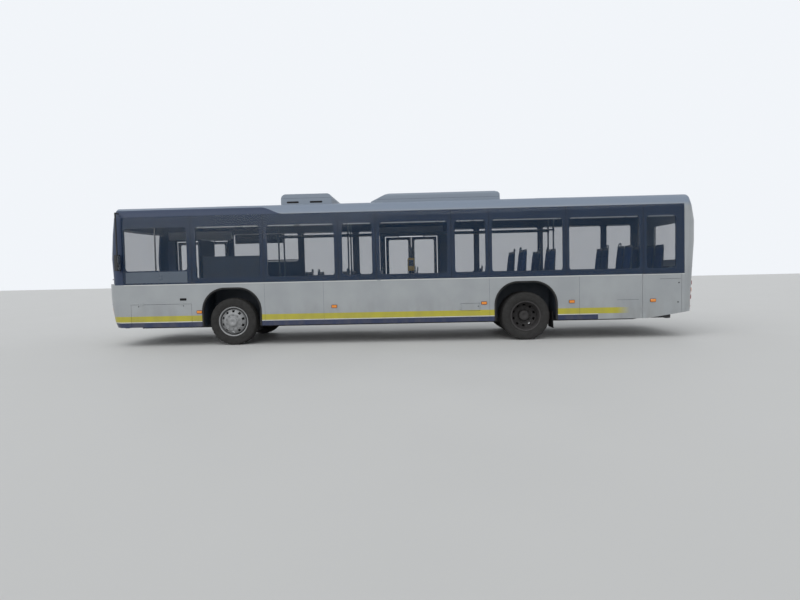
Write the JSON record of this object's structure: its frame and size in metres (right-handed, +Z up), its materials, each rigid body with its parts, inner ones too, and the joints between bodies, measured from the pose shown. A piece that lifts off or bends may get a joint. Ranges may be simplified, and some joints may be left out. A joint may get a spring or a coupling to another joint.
{
  "type": "city bus",
  "caption": "Low-floor city bus with steered front wheels, twin rear wheels, inward-gliding passenger doors, lids and a hollow cabin with seats and rails.",
  "frame": {"origin": "centre of the bounding box at road level", "axes": "X along the bus with the front towards -X, Y across with the passenger doors on +Y, Z up"},
  "size_m": [11.9798, 2.82, 3.0599],
  "materials": {
    "body_paint": "semi-gloss grey-white paint",
    "mask_black": "gloss black",
    "glass": "tinted glass",
    "lamp_clear": "clear lamp lens",
    "lamp_red": "red lamp lens",
    "lamp_amber": "amber lens",
    "roof_unit": "matt paint",
    "black_plastic": "grained",
    "interior_trim": "satin",
    "floor": "flecked floor covering",
    "seat_fabric": "woven blue",
    "rail_paint": "grey powder coat",
    "chassis": "satin black",
    "engine": "rough cast",
    "tyre": "worn rubber",
    "rim": "silver paint"
  },
  "bodies": {
    "body": {"underframe": "chassis", "side_sills": "chassis", "rear_platform": "floor", "floor": "floor", "wheel_boxes": "floor", "engine_block": "engine", "side_wall_left": "body_paint", "side_wall_right": "body_paint", "roof_panel": "body_paint", "front_mask": "mask_black", "front_panel": "body_paint", "rear_shell": "body_paint", "windscreen": "glass", "body_windows": "glass", "headlamps": "lamp_clear", "tail_lamps": "lamp_red", "side_markers": "lamp_amber", "roof_unit_front": "roof_unit", "roof_unit_main": "roof_unit", "mirrors": "black_plastic", "door_headers": "interior_trim", "dashboard": "black_plastic", "driver_podium": "floor", "driver_seat": "seat_fabric", "driver_partition": "interior_trim", "equipment_cabinet": "interior_trim", "passenger_seats": "seat_fabric", "grab_rails": "rail_paint", "front_axle_beam": "chassis", "rear_axle": "chassis"},
    "knuckle_left": {"steering_knuckle_left": "chassis"},
    "front_wheel_left": {"front_wheel_tyre_left": "tyre", "front_wheel_rim_left": "rim"},
    "rear_wheel_left": {"rear_wheel_tyres_left": "tyre", "rear_wheel_rims_left": "rim"},
    "knuckle_right": {"steering_knuckle_right": "chassis"},
    "front_wheel_right": {"front_wheel_tyre_right": "tyre", "front_wheel_rim_right": "rim"},
    "rear_wheel_right": {"rear_wheel_tyres_right": "tyre", "rear_wheel_rims_right": "rim"},
    "front_door_arm_a": {"front_door_arm_a": "rail_paint"},
    "front_door_leaf_a": {"front_door_leaf_a": "mask_black"},
    "front_door_arm_b": {"front_door_arm_b": "rail_paint"},
    "front_door_leaf_b": {"front_door_leaf_b": "mask_black"},
    "middle_door_arm_a": {"middle_door_arm_a": "rail_paint"},
    "middle_door_leaf_a": {"middle_door_leaf_a": "mask_black"},
    "middle_door_arm_b": {"middle_door_arm_b": "rail_paint"},
    "middle_door_leaf_b": {"middle_door_leaf_b": "mask_black"},
    "engine_lid": {"engine_lid": "body_paint"},
    "engine_side_door": {"engine_side_door": "body_paint"},
    "locker_flap": {"locker_flap": "body_paint"},
    "fuel_flap": {"fuel_flap": "body_paint"}
  },
  "joints": [
    {"name": "steer_left", "type": "hinge", "parent": "body", "child": "knuckle_left", "pos_m": [-3.29, -0.88, 0.478], "axis": [0, 0, 1], "range_deg": [-45, 45]},
    {"name": "front_wheel_spin_left", "type": "hinge", "parent": "knuckle_left", "child": "front_wheel_left", "pos_m": [-3.29, -1.05, 0.478], "axis": [0, 1, 0], "continuous": true},
    {"name": "rear_wheel_spin_left", "type": "hinge", "parent": "body", "child": "rear_wheel_left", "pos_m": [2.585, -0.917, 0.478], "axis": [0, 1, 0], "continuous": true},
    {"name": "steer_right", "type": "hinge", "parent": "body", "child": "knuckle_right", "pos_m": [-3.29, 0.88, 0.478], "axis": [0, 0, 1], "range_deg": [-45, 45]},
    {"name": "front_wheel_spin_right", "type": "hinge", "parent": "knuckle_right", "child": "front_wheel_right", "pos_m": [-3.29, 1.05, 0.478], "axis": [0, 1, 0], "continuous": true},
    {"name": "rear_wheel_spin_right", "type": "hinge", "parent": "body", "child": "rear_wheel_right", "pos_m": [2.585, 0.917, 0.478], "axis": [0, 1, 0], "continuous": true},
    {"name": "front_door_swing_a", "type": "hinge", "parent": "body", "child": "front_door_arm_a", "pos_m": [-5.411, 1.158, 1.3], "axis": [0, 0, -1], "range_deg": [0, 88]},
    {"name": "front_door_turn_a", "type": "hinge", "parent": "front_door_arm_a", "child": "front_door_leaf_a", "pos_m": [-5.068, 1.158, 1.3], "axis": [0, 0, 1], "range_deg": [0, 176]},
    {"name": "front_door_swing_b", "type": "hinge", "parent": "body", "child": "front_door_arm_b", "pos_m": [-4.109, 1.158, 1.3], "axis": [0, 0, 1], "range_deg": [0, 88]},
    {"name": "front_door_turn_b", "type": "hinge", "parent": "front_door_arm_b", "child": "front_door_leaf_b", "pos_m": [-4.452, 1.158, 1.3], "axis": [0, 0, -1], "range_deg": [0, 176]},
    {"name": "middle_door_swing_a", "type": "hinge", "parent": "body", "child": "middle_door_arm_a", "pos_m": [-0.341, 1.158, 1.3], "axis": [0, 0, -1], "range_deg": [0, 88]},
    {"name": "middle_door_turn_a", "type": "hinge", "parent": "middle_door_arm_a", "child": "middle_door_leaf_a", "pos_m": [0.002, 1.158, 1.3], "axis": [0, 0, 1], "range_deg": [0, 176]},
    {"name": "middle_door_swing_b", "type": "hinge", "parent": "body", "child": "middle_door_arm_b", "pos_m": [0.961, 1.158, 1.3], "axis": [0, 0, 1], "range_deg": [0, 88]},
    {"name": "middle_door_turn_b", "type": "hinge", "parent": "middle_door_arm_b", "child": "middle_door_leaf_b", "pos_m": [0.618, 1.158, 1.3], "axis": [0, 0, -1], "range_deg": [0, 176]},
    {"name": "engine_lid_lift", "type": "hinge", "parent": "body", "child": "engine_lid", "pos_m": [5.9574, 0, 1.337], "axis": [0, -1, 0], "range_deg": [0, 80]},
    {"name": "engine_side_door_swing", "type": "hinge", "parent": "body", "child": "engine_side_door", "pos_m": [4.8525, -1.254, 0.87], "axis": [0, 0, -1], "range_deg": [0, 100]},
    {"name": "locker_flap_lift", "type": "hinge", "parent": "body", "child": "locker_flap", "pos_m": [-4.7275, -1.254, 0.8575], "axis": [-1, 0, 0], "range_deg": [0, 85]},
    {"name": "fuel_flap_swing", "type": "hinge", "parent": "body", "child": "fuel_flap", "pos_m": [1.3025, -1.254, 0.6815], "axis": [0, 0, -1], "range_deg": [0, 100]}
  ],
  "couplings": [
    {"joint": "steer_right", "follows": "steer_left", "ratio": 1},
    {"joint": "front_door_turn_a", "follows": "front_door_swing_a", "ratio": 2},
    {"joint": "front_door_swing_b", "follows": "front_door_swing_a", "ratio": 1},
    {"joint": "front_door_turn_b", "follows": "front_door_swing_a", "ratio": 2},
    {"joint": "middle_door_turn_a", "follows": "middle_door_swing_a", "ratio": 2},
    {"joint": "middle_door_swing_b", "follows": "middle_door_swing_a", "ratio": 1},
    {"joint": "middle_door_turn_b", "follows": "middle_door_swing_a", "ratio": 2}
  ]
}
